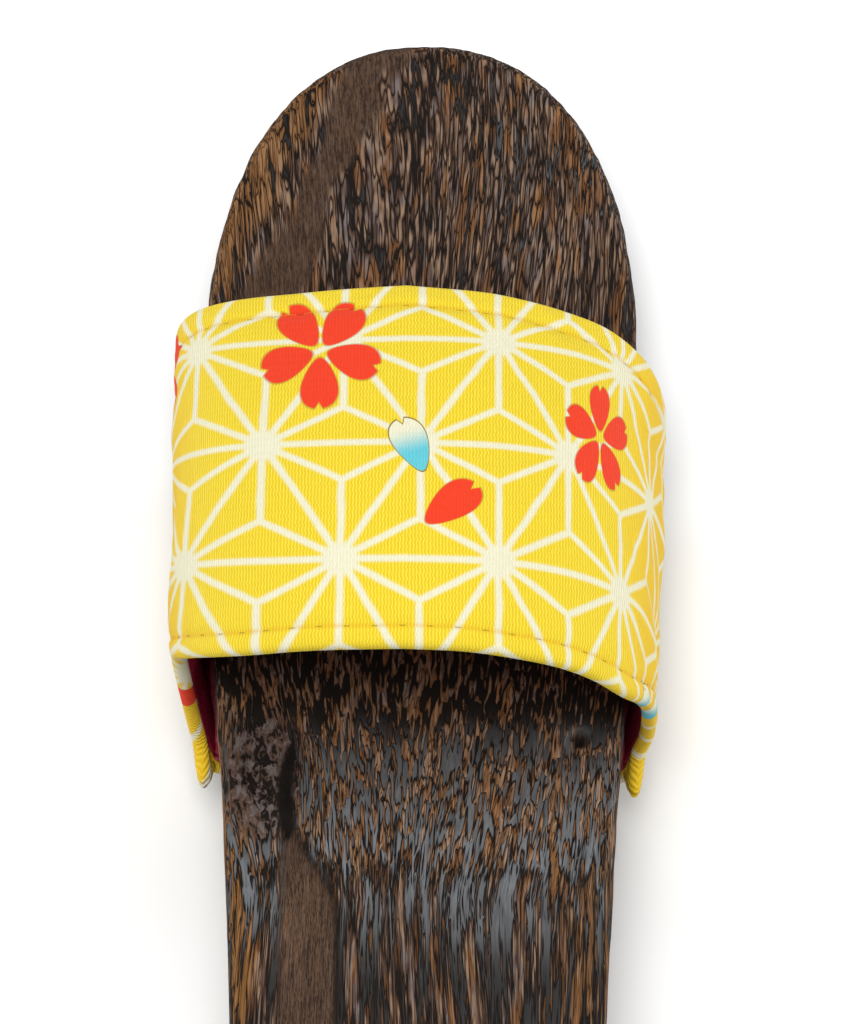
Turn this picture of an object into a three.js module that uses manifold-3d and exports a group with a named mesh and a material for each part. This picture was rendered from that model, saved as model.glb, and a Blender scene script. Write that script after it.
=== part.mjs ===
// A geta sandal for the right foot: one block of scorched and brushed cedar with a rounded toe and heel,
// an arch cut under its waist, and one wide padded cloth band over the foot.
// The band's two ends are gathered into pleats and tucked into a slot in each side of the block.
// Lengths are in millimetres. +Z is up, +Y points to the toe and +X to the outer side of the foot.
// The origin is on the floor, under the middle of the block.
import * as THREE from "three";
import { mergeVertices } from "three/addons/utils/BufferGeometryUtils.js";
import Module from "manifold-3d";

// Block, seen from above
const soleLength = 245;
const ballWidth = 88.8;
const heelWidth = 72.6;
const toeDepth = 68;
const toeFullness = 2.25;
const heelDepth = 34;
const heelFullness = 2.4;
const ballSwing = 0.7;

// Block, seen from the side
const heelHeight = 46;
const foreHeight = 31;
const toeLift = 2.5;
const topEdgeRadius = 3.2;
const lowerEdgeChamfer = 1.5;
const toeSpringLength = 50;
const toeSpringHeight = 10;
const heelSpringLength = 16;
const heelSpringHeight = 2.5;
const archStart = 113;
const archLength = 62;
const archHeight = 8.5;

// Slots that hold the band's ends
const slotFloor = 14.6;
const slotDepth = 7;
const clearance = 0.3;

// Band
const bandWall = 3.2;
const bandEdgeRound = 1.2;
const bandLength = 80.2;
const bandSetback = 67;
const innerFlareFront = 2.2;
const innerFlareRear = 1;
const outerFlareFront = 1.7;
const outerFlareRear = -1;
const bandLean = 3.6;
const crownFront = 36;
const crownRear = 50;
const crownArch = 6.3;
const pleatDepth = 0.5;
const pleatCount = 4;

// Facets
const outlineSteps = 112;
const edgeSteps = 4;
const girthSteps = 56;
const acrossSteps = 26;

const ORIGIN_TO_TOE = soleLength / 2;

// Outline of the block behind its rounded toe: how far along the block, and how much of the step from
// the heel's width up to the ball's width is left there.
const WAIST = [
  { at: 0.27, ball: 1.0 },
  { at: 0.4, ball: 0.94 },
  { at: 0.55, ball: 0.64 },
  { at: 0.68, ball: 0.33 },
  { at: 0.8, ball: 0.11 },
  { at: 0.9, ball: 0.0 },
  { at: 1.0, ball: 0.0 },
];

// Line of the top face from toe to heel: how much of the rise from the forepart up to the heel is
// reached, and how much of the toe's lift is left.
const TOP_LINE = [
  { at: 0.0, rise: 0.0, lift: 1.0 },
  { at: 0.12, rise: 0.0, lift: 0.35 },
  { at: 0.26, rise: 0.01, lift: 0.0 },
  { at: 0.42, rise: 0.22, lift: 0.0 },
  { at: 0.58, rise: 0.62, lift: 0.0 },
  { at: 0.74, rise: 0.93, lift: 0.0 },
  { at: 0.88, rise: 1.0, lift: 0.0 },
  { at: 1.0, rise: 1.0, lift: 0.0 },
];

// Half girth of the band, from its end in the slot (0) up to the crown over the foot (1).
// Outwards: share of the slot's depth, and share of the widest reach that is kept.
// Upwards: share of the way down from the top face to the slot, and share of the crown's height.
const GIRTH = [
  { at: 0.0, slot: 1.0, keep: 1.0, drop: 1.0, crown: 0.0, pleat: 0.0 },
  { at: 0.04, slot: 0.46, keep: 1.0, drop: 1.0, crown: 0.0, pleat: 0.0 },
  { at: 0.06, slot: 0.24, keep: 1.0, drop: 1.0, crown: 0.0, pleat: 0.0 },
  { at: 0.085, slot: 0.04, keep: 1.0, drop: 0.95, crown: 0.0, pleat: 0.8 },
  { at: 0.12, slot: 0.0, keep: 1.0, drop: 0.78, crown: 0.0, pleat: 1.0 },
  { at: 0.19, slot: 0.0, keep: 1.0, drop: 0.4, crown: 0.0, pleat: 0.8 },
  { at: 0.32, slot: 0.0, keep: 1.0, drop: 0.0, crown: 0.16, pleat: 0.1 },
  { at: 0.48, slot: 0.0, keep: 0.93, drop: 0.0, crown: 0.56, pleat: 0.0 },
  { at: 0.64, slot: 0.0, keep: 0.72, drop: 0.0, crown: 0.83, pleat: 0.0 },
  { at: 0.82, slot: 0.0, keep: 0.38, drop: 0.0, crown: 0.965, pleat: 0.0 },
  { at: 1.0, slot: 0.0, keep: 0.0, drop: 0.0, crown: 1.0, pleat: 0.0 },
];

// The band's inner and outer sides along the same half girth: share of the way from lying on the
// block's side out to the widest reach, and how far the front and rear edges lie behind their places
// at the crown, as shares of the band's length.
const INNER_SIDE = [
  { at: 0.0, reach: 0.0, front: 0.3, rear: 0.085 },
  { at: 0.045, reach: 0.0, front: 0.3, rear: 0.085 },
  { at: 0.065, reach: 0.0, front: 0.3, rear: 0.085 },
  { at: 0.12, reach: 0.4, front: 0.25, rear: 0.04 },
  { at: 0.19, reach: 0.8, front: 0.16, rear: -0.03 },
  { at: 0.32, reach: 1.0, front: 0.055, rear: -0.09 },
  { at: 0.48, reach: 1.0, front: 0.015, rear: -0.05 },
  { at: 0.64, reach: 1.0, front: 0.005, rear: -0.02 },
  { at: 0.82, reach: 1.0, front: 0.002, rear: -0.008 },
  { at: 1.0, reach: 1.0, front: 0.0, rear: 0.0 },
];

const OUTER_SIDE = [
  { at: 0.0, reach: 0.0, front: 0.36, rear: 0.1 },
  { at: 0.045, reach: 0.0, front: 0.36, rear: 0.1 },
  { at: 0.065, reach: 0.0, front: 0.36, rear: 0.1 },
  { at: 0.12, reach: 0.5, front: 0.31, rear: 0.06 },
  { at: 0.19, reach: 1.0, front: 0.24, rear: 0.04 },
  { at: 0.32, reach: 1.0, front: 0.16, rear: 0.03 },
  { at: 0.48, reach: 1.0, front: 0.12, rear: 0.03 },
  { at: 0.64, reach: 1.0, front: 0.08, rear: 0.018 },
  { at: 0.82, reach: 1.0, front: 0.022, rear: 0.008 },
  { at: 1.0, reach: 1.0, front: 0.0, rear: 0.0 },
];

const wasm = await Module();
wasm.setup();

// Value of one column of a table at a share of the way along it, on a smooth curve through the rows.
function along(table, column, share) {
  const rows = table.length - 1;
  const t = THREE.MathUtils.clamp(share, table[0].at, table[rows].at);
  let i = 0;
  while (i < rows - 1 && t > table[i + 1].at) i += 1;
  const slope = (k) => {
    const before = table[Math.max(k - 1, 0)];
    const after = table[Math.min(k + 1, rows)];
    return (after[column] - before[column]) / (after.at - before.at);
  };
  const span = table[i + 1].at - table[i].at;
  const u = (t - table[i].at) / span;
  const u2 = u * u;
  const u3 = u2 * u;
  return (
    table[i][column] * (2 * u3 - 3 * u2 + 1) +
    slope(i) * span * (u3 - 2 * u2 + u) +
    table[i + 1][column] * (3 * u2 - 2 * u3) +
    slope(i + 1) * span * (u3 - u2)
  );
}

// Distance behind the toe tip of a point on the block's length.
const behindToe = (y) => THREE.MathUtils.clamp(ORIGIN_TO_TOE - y, 0, soleLength);

// Height of the block's top face above the floor.
function topHeight(y) {
  const share = behindToe(y) / soleLength;
  const rise = (heelHeight - foreHeight) * along(TOP_LINE, "rise", share);
  return foreHeight + rise + toeLift * along(TOP_LINE, "lift", share);
}

// Half width of the block, rounded off at the toe and the heel as flattened ellipses.
function halfWidth(y) {
  const s = behindToe(y);
  const full = (heelWidth + (ballWidth - heelWidth) * along(WAIST, "ball", s / soleLength)) / 2;
  const round = (depth, left, fullness) =>
    left >= depth ? 1 : (1 - (1 - left / depth) ** fullness) ** (1 / fullness);
  return full * round(toeDepth, s, toeFullness) * round(heelDepth, soleLength - s, heelFullness);
}

// The block's middle line swings to the inner side of the foot at the ball, and is straight at both ends.
function middle(y) {
  const share = behindToe(y) / soleLength;
  return -ballSwing * Math.sin(Math.PI * Math.min(share / 0.68, 1)) ** 2;
}

function solidOf(geometry) {
  const bare = geometry.clone();
  bare.deleteAttribute("normal");
  bare.deleteAttribute("uv");
  const merged = mergeVertices(bare, 1e-3);
  const index = merged.index.array;
  const faces = [];
  for (let i = 0; i < index.length; i += 3) {
    const [a, b, c] = [index[i], index[i + 1], index[i + 2]];
    if (a !== b && b !== c && c !== a) faces.push(a, b, c);
  }
  return new wasm.Manifold(
    new wasm.Mesh({
      numProp: 3,
      vertProperties: merged.attributes.position.array,
      triVerts: new Uint32Array(faces),
    }),
  );
}

function geometryOf(solid) {
  const mesh = solid.getMesh();
  const geometry = new THREE.BufferGeometry();
  geometry.setAttribute("position", new THREE.BufferAttribute(new Float32Array(mesh.vertProperties), 3));
  geometry.setIndex(new THREE.BufferAttribute(new Uint32Array(mesh.triVerts), 1));
  return geometry;
}

// A surface through loops of points, each loop with as many points as the next.
function loftOf(loops) {
  const n = loops[0].length;
  const position = loops.flat().flatMap((p) => [p.x, p.y, p.z]);
  const faces = [];
  for (let k = 0; k < loops.length - 1; k += 1) {
    for (let i = 0; i < n; i += 1) {
      const j = (i + 1) % n;
      faces.push(k * n + i, k * n + j, (k + 1) * n + j);
      faces.push(k * n + i, (k + 1) * n + j, (k + 1) * n + i);
    }
  }
  const geometry = new THREE.BufferGeometry();
  geometry.setAttribute("position", new THREE.Float32BufferAttribute(position, 3));
  geometry.setIndex(faces);
  return geometry;
}

// One loop round the block: its outline moved in by a distance, then drawn in to the middle line.
function blockLoop(inset, share, height) {
  const spineFront = ORIGIN_TO_TOE - toeDepth;
  const spineBack = heelDepth - ORIGIN_TO_TOE;
  const edge = (turn) => {
    const y = ORIGIN_TO_TOE * Math.cos(turn);
    return new THREE.Vector2(middle(y) + Math.sign(-Math.sin(turn)) * halfWidth(y), y);
  };
  const loop = [];
  for (let i = 0; i < outlineSteps; i += 1) {
    const turn = (2 * Math.PI * i) / outlineSteps;
    const nudge = Math.PI / outlineSteps;
    const here = edge(turn);
    const tangent = edge(turn + nudge).sub(edge(turn - nudge)).normalize();
    const inner = new THREE.Vector2(here.x - tangent.y * inset, here.y + tangent.x * inset);
    const spine = THREE.MathUtils.clamp(ORIGIN_TO_TOE * Math.cos(turn), spineBack, spineFront);
    const y = spine + (inner.y - spine) * share;
    const x = middle(spine) + (inner.x - middle(spine)) * share;
    loop.push(new THREE.Vector3(x, y, height(y)));
  }
  return loop;
}

// The block before it is cut: flat below, with its upper edge rounded all round.
function blockBlank() {
  const loops = [
    blockLoop(lowerEdgeChamfer, 0, () => 0),
    blockLoop(lowerEdgeChamfer, 1, () => 0),
    blockLoop(0, 1, () => lowerEdgeChamfer),
  ];
  for (let k = 0; k <= edgeSteps; k += 1) {
    const turn = (Math.PI / 2) * (k / edgeSteps);
    const inset = topEdgeRadius * (1 - Math.cos(turn));
    const below = topEdgeRadius * (1 - Math.sin(turn));
    loops.push(blockLoop(inset, 1, (y) => topHeight(y) - below));
  }
  for (const share of [0.75, 0.5, 0.25, 0]) {
    loops.push(blockLoop(topEdgeRadius, share, topHeight));
  }
  return solidOf(loftOf(loops));
}

// A prism right across the block, from an outline drawn from the side: along the foot, then up.
function acrossBlock(outline) {
  const width = ballWidth * 2;
  const prism = new THREE.ExtrudeGeometry(outline, {
    depth: width,
    bevelEnabled: false,
    curveSegments: 20,
  });
  prism.translate(0, 0, -width / 2);
  prism.applyMatrix4(
    new THREE.Matrix4().makeBasis(
      new THREE.Vector3(0, 1, 0),
      new THREE.Vector3(0, 0, 1),
      new THREE.Vector3(1, 0, 0),
    ),
  );
  return solidOf(prism);
}

// What lies under an arc that leaves the floor and climbs to the end of the block.
function springCut(length, height, end, direction) {
  const radius = (length ** 2 + height ** 2) / (2 * height);
  const reach = Math.asin((length + clearance) / radius);
  const start = end - direction * length;
  const cut = new THREE.Shape();
  cut.moveTo(start, 0);
  cut.absarc(start, radius, radius, -Math.PI / 2, -Math.PI / 2 + direction * reach, direction < 0);
  cut.lineTo(start + direction * radius * Math.sin(reach), -1);
  cut.lineTo(start, -1);
  return acrossBlock(cut);
}

// The hollow under the waist, a shallow round arch.
function archCut() {
  const half = archLength / 2;
  const radius = (half ** 2 + archHeight ** 2) / (2 * archHeight);
  const centre = ORIGIN_TO_TOE - archStart - half;
  const reach = Math.asin(half / radius);
  const cut = new THREE.Shape();
  cut.moveTo(centre - half, -1);
  cut.lineTo(centre + half, -1);
  cut.lineTo(centre + half, 0);
  cut.absarc(centre, archHeight - radius, radius, Math.PI / 2 - reach, Math.PI / 2 + reach, false);
  return acrossBlock(cut);
}

// Place of the band's outer surface: girth runs from -1 in the inner slot over the crown at 0 to +1 in
// the outer slot, and across runs from the front edge at 0 to the rear edge at 1. Where it is widest,
// the band stands out by its flare from a band that would lie close on the ball's side.
function bandPoint(girth, across) {
  const side = girth < 0 ? -1 : 1;
  const share = 1 - Math.abs(girth);
  const table = side < 0 ? INNER_SIDE : OUTER_SIDE;
  const column = (name) => along(GIRTH, name, share);
  const crownY = ORIGIN_TO_TOE - bandSetback - bandLength * across;
  const setback = THREE.MathUtils.lerp(along(table, "front", share), along(table, "rear", share), across);
  const y = crownY - bandLength * setback;
  const snug = halfWidth(y) + side * middle(y) + clearance + bandWall;
  const flare =
    side < 0
      ? THREE.MathUtils.lerp(innerFlareFront, innerFlareRear, across)
      : THREE.MathUtils.lerp(outerFlareFront, outerFlareRear, across);
  const reach = ballWidth / 2 + clearance + bandWall + flare;
  const fold = (pleatDepth * column("pleat") * (1 - Math.cos(2 * Math.PI * pleatCount * across))) / 2;
  const out =
    (snug + (reach - snug) * along(table, "reach", share) * (1 - fold)) * column("keep") -
    (slotDepth + bandWall) * column("slot");
  const x = side * out - bandLean * column("crown");
  const down = (topHeight(y) - slotFloor - clearance) * column("drop");
  const arch = 4 * crownArch * across * (1 - across);
  const up = (THREE.MathUtils.lerp(crownFront, crownRear, across) + arch) * column("crown");
  return new THREE.Vector3(x, y, topHeight(y) - down + up);
}

// Outward direction of the band's surface.
function bandNormal(girth, across) {
  const step = 1e-3;
  const before = bandPoint(Math.max(girth - step, -1), across);
  const after = bandPoint(Math.min(girth + step, 1), across);
  const front = bandPoint(girth, Math.max(across - step, 0));
  const rear = bandPoint(girth, Math.min(across + step, 1));
  return after.sub(before).cross(front.sub(rear)).normalize();
}

// One loop round the band's wall: the outer surface to the rear, round the rear edge, the inner
// surface to the front, and round the front edge.
function wallLoop(girth) {
  const outer = [];
  const inner = [];
  for (let k = 0; k <= acrossSteps; k += 1) {
    const point = bandPoint(girth, k / acrossSteps);
    outer.push(point);
    inner.push(point.clone().addScaledVector(bandNormal(girth, k / acrossSteps), -bandWall));
  }
  const edge = (k, next) => {
    const away = outer[k].clone().sub(outer[next]).normalize();
    return outer[k].clone().lerp(inner[k], 0.5).addScaledVector(away, bandEdgeRound);
  };
  const rearEdge = edge(acrossSteps, acrossSteps - 1);
  const frontEdge = edge(0, 1);
  return [...outer, rearEdge, ...inner.reverse(), frontEdge];
}

// The band: one wall bent over the foot, closed at its two ends.
function bandGeometry() {
  const loops = [];
  for (let i = 0; i <= girthSteps; i += 1) loops.push(wallLoop(-1 + (2 * i) / girthSteps));
  const geometry = loftOf(loops);
  const n = loops[0].length;
  const faces = Array.from(geometry.index.array);
  for (const start of [0, girthSteps * n]) {
    const face = (a, b, c) => {
      if (start === 0) faces.push(start + a, start + c, start + b);
      else faces.push(start + a, start + b, start + c);
    };
    for (let k = 0; k < acrossSteps; k += 1) {
      face(k, k + 1, n - 3 - k);
      face(k, n - 3 - k, n - 2 - k);
    }
    face(acrossSteps, acrossSteps + 1, acrossSteps + 2);
    face(n - 2, n - 1, 0);
  }
  geometry.setIndex(faces);
  return geometry;
}

// A slot in one side of the block, which follows the block's outline and leaves a clearance all
// round the band's end.
function slotCut(side) {
  const front = bandPoint(side, 0).y + bandEdgeRound + clearance;
  const rear = bandPoint(side, 1).y - bandEdgeRound - clearance;
  const outline = [];
  for (let k = 0; k <= acrossSteps; k += 1) {
    const y = THREE.MathUtils.lerp(front, rear, k / acrossSteps);
    outline.push(new THREE.Vector2(side * (halfWidth(y) + side * middle(y) - slotDepth), y));
  }
  outline.push(new THREE.Vector2(side * ballWidth, rear), new THREE.Vector2(side * ballWidth, front));
  const slot = new THREE.ExtrudeGeometry(new THREE.Shape(outline), {
    depth: bandWall + 2 * clearance,
    bevelEnabled: false,
  });
  slot.translate(0, 0, slotFloor);
  return solidOf(slot);
}

const block = blockBlank()
  .subtract(springCut(toeSpringLength, toeSpringHeight, ORIGIN_TO_TOE, 1))
  .subtract(springCut(heelSpringLength, heelSpringHeight, -ORIGIN_TO_TOE, -1))
  .subtract(archCut())
  .subtract(slotCut(-1))
  .subtract(slotCut(1));

const scorchedCedar = new THREE.MeshStandardMaterial({ color: 0x4a3323, roughness: 0.5, metalness: 0 });
const printedCrepe = new THREE.MeshStandardMaterial({ color: 0xf2c81c, roughness: 0.9, metalness: 0 });

const sandal = new THREE.Group();

const soleMesh = new THREE.Mesh(geometryOf(block), scorchedCedar);
soleMesh.name = "sole_block";
sandal.add(soleMesh);

const bandMesh = new THREE.Mesh(bandGeometry(), printedCrepe);
bandMesh.name = "upper_band";
sandal.add(bandMesh);

export default sandal;
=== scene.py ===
import math
import bpy
import numpy as np
from mathutils import Matrix, Vector, noise


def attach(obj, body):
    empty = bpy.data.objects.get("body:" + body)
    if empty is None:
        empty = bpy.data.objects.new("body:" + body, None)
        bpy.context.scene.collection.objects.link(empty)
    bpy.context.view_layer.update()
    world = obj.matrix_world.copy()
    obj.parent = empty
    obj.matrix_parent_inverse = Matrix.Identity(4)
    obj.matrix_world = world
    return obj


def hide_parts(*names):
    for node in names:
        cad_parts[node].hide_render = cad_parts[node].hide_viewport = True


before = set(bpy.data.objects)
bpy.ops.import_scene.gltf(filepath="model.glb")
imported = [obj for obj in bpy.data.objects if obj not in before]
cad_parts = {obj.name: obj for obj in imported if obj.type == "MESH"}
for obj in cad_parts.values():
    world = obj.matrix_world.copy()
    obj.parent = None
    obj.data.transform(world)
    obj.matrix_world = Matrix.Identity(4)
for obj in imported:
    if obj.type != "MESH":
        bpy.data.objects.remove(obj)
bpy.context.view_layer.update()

MM = 0.001

# Studio.
# The shoe stands on a pale sweep and is looked down on from behind its heel, close in, so that
# the heel runs out of the picture; two broad soft lights hang over it and a low one at each side.
LOOK_DOWN = math.radians(72)
CAMERA_ROLL = math.radians(-0.48)
CAMERA_DISTANCE = 1000 * MM
LOOKED_AT = Vector((0.785, 17, 40)) * MM
LENS = 174.7

away = Vector((0, -math.cos(LOOK_DOWN), math.sin(LOOK_DOWN)))
level = Vector((1, 0, 0))
upward = away.cross(level)
camera_right = level * math.cos(CAMERA_ROLL) - upward * math.sin(CAMERA_ROLL)
camera_up = level * math.sin(CAMERA_ROLL) + upward * math.cos(CAMERA_ROLL)
camera_place = Matrix((camera_right, camera_up, away)).transposed().to_4x4()
camera_place.translation = LOOKED_AT + away * CAMERA_DISTANCE
lens_data = bpy.data.cameras.new("studio_camera")
lens_data.lens = LENS
lens_data.sensor_width = 36
lens_data.clip_end = 20
camera = bpy.data.objects.new("studio_camera", lens_data)
camera.matrix_world = camera_place
bpy.context.scene.collection.objects.link(camera)
bpy.context.scene.camera = camera
bpy.context.scene.view_settings.view_transform = "Standard"

bpy.ops.object.select_all(action="DESELECT")
bpy.ops.mesh.primitive_plane_add(size=6, location=(0, 0, 0))
sweep = bpy.context.object
sweep.name = "studio_sweep"
paper = bpy.data.materials.new("white_paper")
paper.use_nodes = True
paper_shader = paper.node_tree.nodes["Principled BSDF"]
paper_shader.inputs["Base Color"].default_value = (0.93, 0.93, 0.93, 1)
paper_shader.inputs["Roughness"].default_value = 0.9
paper_shader.inputs["Specular IOR Level"].default_value = 0.1
sweep.data.materials.append(paper)

world = bpy.data.worlds.new("studio_air")
world.use_nodes = True
world.node_tree.nodes["Background"].inputs["Color"].default_value = (1, 1, 1, 1)
world.node_tree.nodes["Background"].inputs["Strength"].default_value = 0.3
bpy.context.scene.world = world


def hang_light(name, place, aim, width, depth, power, colour):
    """A rectangular soft light at place, turned to aim, both in metres."""
    data = bpy.data.lights.new(name, "AREA")
    data.shape = "RECTANGLE"
    data.size = width
    data.size_y = depth
    data.energy = power
    data.color = colour
    light = bpy.data.objects.new(name, data)
    light.location = place
    light.rotation_euler = (Vector(aim) - Vector(place)).to_track_quat("-Z", "Y").to_euler()
    bpy.context.scene.collection.objects.link(light)


hang_light("overhead_softbox", (-0.1, -0.12, 1.35), (0, 0, 0.03), 0.6, 0.5, 10.8, (1, 0.98, 0.95))
hang_light("toe_softbox", (0, 0.467, 1.1), (0, -0.04, 0.04), 0.95, 0.24, 4.6, (0.86, 0.93, 1))
hang_light("left_panel", (-0.85, 0, 0.4), (0, 0, 0.04), 0.8, 0.4, 2.9, (1, 0.98, 0.95))
hang_light("right_panel", (0.85, 0, 0.4), (0, 0, 0.04), 0.8, 0.4, 3.6, (1, 0.98, 0.95))

# Sole.
# One block of cedar, sawn to the foot's outline, hollowed below the waist, its edges rounded, then
# scorched and wire-brushed: the fire leaves dark lacquered hollows and the brush lifts paler grain.
SOLE_LENGTH = 245.0
GRAIN_STRETCH = 2.4
WOOD_CELL = 0.62
HOLLOW_DEPTH = 0.24
HOLLOW_WIDTH = 2.1
HOLLOW_RUN = 13.0
KNOT = (-31.0, -39.0)
KNOT_SPREAD = 8.0
PIN_KNOT = (31.3, -31.0)
CRACK_TOP, CRACK_END = (-25.0, -31.5), (-25.8, -52.5)
CRACK_HALF_WIDTH = 1.8
CRACK_DEPTH = 0.7
PIN_HOLE_RADIUS = (1.9, 1.1)
PIN_RIM_RADIUS = 2.2
LUMP_HEIGHT = 1.9
SEAM_DEPTH = 0.35
FLAMES_START, FLAMES_END = (4, -14), (-66, -52)
STREAKS_START = (-50, -66)
TOE_STRIP_EDGE = (6.0, 3.4)
HEEL_STRIP_LEFT = (-28.4, -25.6)
HEEL_STRIP_RIGHT, HEEL_STRIP_TAPER = -15.8, 9.5


def coordinates(mesh):
    """The mesh's vertices in millimetres, one row each."""
    points = np.empty(len(mesh.vertices) * 3)
    mesh.vertices.foreach_get("co", points)
    return points.reshape(-1, 3) / MM


def set_coordinates(mesh, points):
    mesh.vertices.foreach_set("co", (points * MM).ravel())
    mesh.update()


def work_on(piece):
    """Makes piece the only selected and active object."""
    bpy.ops.object.select_all(action="DESELECT")
    piece.select_set(True)
    bpy.context.view_layer.objects.active = piece


def fade(value, low, high):
    """0 where value is at low, 1 where it is at high, smooth between them."""
    t = np.clip((value - low) / (high - low), 0, 1)
    return t * t * (3 - 2 * t)


def grown(points, width, run, seed):
    """Natural variation from -1 to 1, this wide across the grain and this long along it."""
    scaled = points / np.array([width, run, width]) + seed
    return np.array([noise.noise(Vector(p)) for p in scaled])


sole = bpy.data.objects.new("sole_wood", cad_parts["sole_block"].data.copy())
bpy.context.scene.collection.objects.link(sole)
work_on(sole)
bpy.ops.object.mode_set(mode="EDIT")
bpy.ops.mesh.select_all(action="SELECT")
bpy.ops.mesh.remove_doubles(threshold=0.001 * MM)
bpy.ops.object.mode_set(mode="OBJECT")
sole.data.transform(Matrix.Diagonal((1, 1 / GRAIN_STRETCH, 1, 1)))
recut = sole.modifiers.new("recut", "REMESH")
recut.mode = "VOXEL"
recut.voxel_size = WOOD_CELL * MM
recut.use_smooth_shade = True
bpy.ops.object.modifier_apply(modifier=recut.name)
sole.data.transform(Matrix.Diagonal((1, GRAIN_STRETCH, 1, 1)))
sanding = sole.modifiers.new("sanding", "SMOOTH")
sanding.factor = 0.5
sanding.iterations = 3
bpy.ops.object.modifier_apply(modifier=sanding.name)

normals = np.empty(len(sole.data.vertices) * 3)
sole.data.vertices.foreach_get("normal", normals)
normals = normals.reshape(-1, 3)
points = coordinates(sole.data)
wood_x, wood_y, wood_z = points.T
level_face = fade(normals[:, 2], 0.1, 0.5)
upper_face = fade(wood_z, 20, 27) * level_face

# The grain runs lengthwise, fans a little at the toe and parts round the knot.
grain = points.copy()
grain[:, 0] += 3.2 * grown(points, 20, 60, 11)
grain[:, 0] -= 0.0022 * wood_x * np.maximum(wood_y - 40, 0)
knot_x, knot_y = wood_x - KNOT[0], wood_y - KNOT[1]
knot_pull = np.exp(-(knot_x**2 + (knot_y / 1.7) ** 2) / KNOT_SPREAD**2) * upper_face
grain[:, 0] -= 4.0 * knot_pull * np.tanh(knot_x / 3)
grain[:, 1] += 2.2 * knot_pull * np.cos(knot_x / 2.2)

# Along the sole the grain changes from fine fibres at the toe to short flames behind the band and
# long streaks at the heel; the sides have the streaks all along.
wander = 4 * grown(points, 9, 9, 3)
feather = fade(wood_y + wander, *FLAMES_END) * fade(wood_y + wander, *FLAMES_START)
grain[:, 0] -= 0.13 * (np.clip(wood_y, -64, -14) + 38) * np.tanh((wood_x + 6) / 14)
feather = feather * level_face
heel_part = np.maximum(fade(wood_y + wander, *STREAKS_START), 1 - level_face)

# Two strips stay plain and matt: one slants over the toe's left, one runs straight to the heel,
# with a dark seam at its right.
diagonal = np.abs(wood_x - (0.4 * wood_y - 58.5) + wander)
fine_grained = fade(diagonal, *TOE_STRIP_EDGE) * fade(wood_y, 52, 66) * fade(wood_x + wander, 2, -8)
strip_right = HEEL_STRIP_RIGHT - HEEL_STRIP_TAPER * fade(wood_y, -68, -46)
strip = fade(wood_x, *HEEL_STRIP_LEFT) * fade(wood_x - strip_right, 0.4, -0.6)
strip = strip * fade(wood_y + wander, -42, -50)
seam = np.exp(-((wood_x - strip_right) / 0.9) ** 2) * fade(wood_y, -42, -50)
fine_grained = np.maximum(fine_grained, 0.92 * strip) * upper_face

# Amber shows along the edges, where the brush took off most of the char; on the left rims, which face the
# light, the amber is partly painted light.
left_rim = fade(wood_x + 0.4 * wander, -31.8, -34.4) * fade(wood_y, -34, -48)
toe_left_rim = fade(wood_x - (0.4 * wood_y - 66) + wander, 0, -4) * fade(wood_y, 40, 60)
amber_and_lit_rim = np.clip(0.9 * left_rim + 0.5 * toe_left_rim + 0.35 * fade(wood_x, 22, 34) * heel_part, 0, 1)
amber_and_lit_rim *= (0.35 + 0.65 * level_face) * (1 - 0.85 * knot_pull)

# A crack opens beside the knot, and a pin knot lies across from it with a hole in its middle.
crack_run = (wood_y - CRACK_TOP[1]) / (CRACK_END[1] - CRACK_TOP[1])
crack_line = CRACK_TOP[0] + (CRACK_END[0] - CRACK_TOP[0]) * crack_run - 1.2 * np.sin(np.pi * crack_run)
crack_half = CRACK_HALF_WIDTH * np.sqrt(np.clip(4 * crack_run * (1 - crack_run), 0, 1)) + 0.01
crack = fade(np.abs(wood_x - crack_line) / crack_half, 1.25, 0.6) * (crack_run > 0) * (crack_run < 1)
pin = np.hypot(wood_x - PIN_KNOT[0], wood_y - PIN_KNOT[1])
crack = np.maximum(crack, fade(pin, *PIN_HOLE_RADIUS)) * upper_face
dark_part = np.clip(crack + 0.9 * seam * upper_face, 0, 1)

# The lacquer is glossiest in the hollows behind the band, and dull on the plain strips and the knot. The same
# mask also paints a blue-grey sheen into the hollows' colour: a painted reflection.
toe_gloss_and_sheen = 0.14 + 0.5 * fade(wood_x + wander, 8, 26) * fade(wood_y, 60, 90)
heel_gloss_and_sheen = 0.16 + 0.7 * fade(wood_y + wander, -82, -64)
# Painted shadow: just behind the band this mask fades out, so the hollows there stay black.
gloss_and_painted_sheen = feather * 0.95 * fade(wood_y + wander, -25, -42) + heel_part * heel_gloss_and_sheen
gloss_and_painted_sheen = gloss_and_painted_sheen + toe_gloss_and_sheen * fade(wood_y, 30, 45)
gloss_and_painted_sheen = np.clip(gloss_and_painted_sheen * (1 - fine_grained) * (1 - 0.75 * knot_pull), 0, 1)
gloss_and_painted_sheen *= (1 - np.exp(-((pin / 3.5) ** 2))) * (0.25 + 0.75 * level_face)

# The surface itself takes this relief, but hardly any of it in the slots, where the band's ends lie.
relief = np.clip(1.5 * grown(grain, HOLLOW_WIDTH, HOLLOW_RUN, 0) + 0.8 * grown(grain, 1.1, 7, 40), -1, 1)
lumps = grown(points, 3.2, 4.2, 9) * knot_pull
depth = HOLLOW_DEPTH * (0.55 + 0.75 * feather + 0.45 * heel_part) * (1 - 0.8 * fine_grained)
move = relief * depth + LUMP_HEIGHT * lumps - CRACK_DEPTH * crack - SEAM_DEPTH * seam * upper_face
move += 0.35 * np.exp(-(((pin - PIN_RIM_RADIUS) / 0.9) ** 2)) * upper_face
in_slot = (np.abs(wood_x) < 46) & (np.abs(wood_y - 12) < 60) & (wood_z < 22) & (wood_z > 6)
move[in_slot] *= 0.25
points += normals * move[:, None]
points[:, 2] = np.maximum(points[:, 2], 0)
set_coordinates(sole.data, points)


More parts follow.
